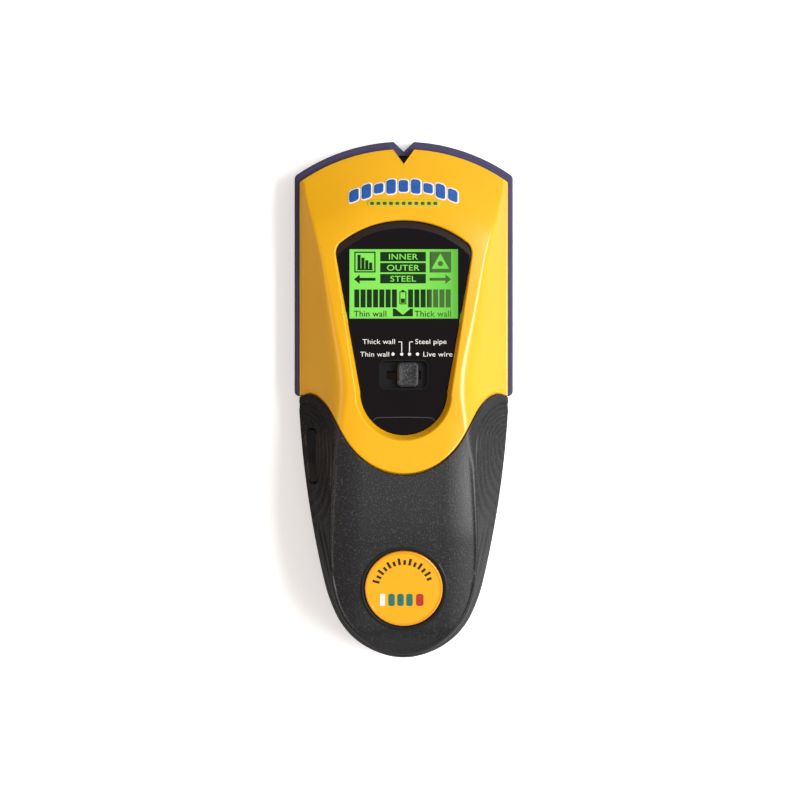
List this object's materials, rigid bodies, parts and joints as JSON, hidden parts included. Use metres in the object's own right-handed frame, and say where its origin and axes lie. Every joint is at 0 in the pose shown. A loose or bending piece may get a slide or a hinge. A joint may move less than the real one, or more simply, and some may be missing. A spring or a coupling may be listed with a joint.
{
  "type": "stud finder",
  "caption": "Handheld stud finder with a wide marking-notched sensing head, lit display window, sliding mode knob, side power button and hinged battery door.",
  "frame": {"origin": "centre of the footprint on the flat back face", "axes": "+Z out of the front face, +Y towards the sensing head with the marking notch, +X to the right of someone reading the display"},
  "size_m": [0.0764, 0.1799, 0.0364],
  "materials": {
    "backlight_leds": "epoxy",
    "battery_case": "printed steel jacket",
    "battery_door": "satin ABS",
    "battery_pad": "foam",
    "battery_terminals": "nickel plated",
    "board_screws": "zinc plated",
    "buzzer": "nylon",
    "case_screws": "zinc plated",
    "chip_parts": "ceramic",
    "coil_bobbin": "nylon",
    "coil_winding": "enamelled copper",
    "crystal": "satin",
    "electrolytic_capacitor": "sleeved",
    "ferrite_core": "sintered ferrite",
    "front_housing": "gloss ABS, golden yellow",
    "grip_overmould": "fine-grained TPE, charcoal",
    "lcd_front_glass": "polished",
    "lcd_holder": "white polycarbonate",
    "lcd_rear_glass": "polished",
    "lead_black": "PVC",
    "lead_red": "PVC",
    "lens_gasket": "foam",
    "light_guide": "clear acrylic",
    "link_pins": "gold flashed",
    "link_socket": "nylon",
    "main_board": "solder mask on FR4",
    "microcontroller": "epoxy",
    "microcontroller_legs": "tinned",
    "mode_knob": "grained ABS",
    "name_badge": "gloss label on ABS",
    "power_button": "TPE",
    "push_switch_body": "nylon",
    "push_switch_plunger": "nylon",
    "rear_housing": "satin ABS, dark violet",
    "rear_label": "laminated label",
    "sensor_board": "solder mask on FR4",
    "sensor_plates": "copper foil",
    "slide_switch_actuator": "nylon",
    "slide_switch_body": "tinned",
    "slide_switch_pins": "tinned",
    "snap_contacts": "nickel plated",
    "snap_plate": "fibreboard",
    "switch_bezel": "gloss ABS",
    "window_lens": "polished acrylic, printed black behind",
    "zebra_strip": "silicone"
  },
  "bodies": {
    "case": {"backlight_leds": "backlight_leds", "battery_case": "battery_case", "battery_pad": "battery_pad", "battery_terminals": "battery_terminals", "board_screws": "board_screws", "buzzer": "buzzer", "case_screws": "case_screws", "chip_parts": "chip_parts", "coil_bobbin": "coil_bobbin", "coil_winding": "coil_winding", "crystal": "crystal", "electrolytic_capacitor": "electrolytic_capacitor", "ferrite_core": "ferrite_core", "front_housing": "front_housing", "grip_overmould": "grip_overmould", "lcd_front_glass": "lcd_front_glass", "lcd_holder": "lcd_holder", "lcd_rear_glass": "lcd_rear_glass", "lead_black": "lead_black", "lead_red": "lead_red", "lens_gasket": "lens_gasket", "light_guide": "light_guide", "link_pins": "link_pins", "link_socket": "link_socket", "main_board": "main_board", "microcontroller": "microcontroller", "microcontroller_legs": "microcontroller_legs", "name_badge": "name_badge", "push_switch_body": "push_switch_body", "rear_housing": "rear_housing", "rear_label": "rear_label", "sensor_board": "sensor_board", "sensor_plates": "sensor_plates", "slide_switch_body": "slide_switch_body", "slide_switch_pins": "slide_switch_pins", "snap_contacts": "snap_contacts", "snap_plate": "snap_plate", "switch_bezel": "switch_bezel", "window_lens": "window_lens", "zebra_strip": "zebra_strip"},
    "power_button": {"power_button": "power_button", "push_switch_plunger": "push_switch_plunger"},
    "mode_knob": {"mode_knob": "mode_knob", "slide_switch_actuator": "slide_switch_actuator"},
    "battery_door": {"battery_door": "battery_door"}
  },
  "joints": [
    {"name": "power_press", "type": "slide", "parent": "case", "child": "power_button", "axis": [1, 0, 0], "range_m": [0, 0.001], "stiffness_N_per_m": 1500, "springref_m": -0.0006},
    {"name": "mode_slide", "type": "slide", "parent": "case", "child": "mode_knob", "axis": [1, 0, 0], "range_m": [-0.00566, 0.00283]},
    {"name": "battery_door_hinge", "type": "hinge", "parent": "case", "child": "battery_door", "pos_m": [0, -0.022, 0.0012], "axis": [1, 0, 0], "range_deg": [0, 100]}
  ]
}
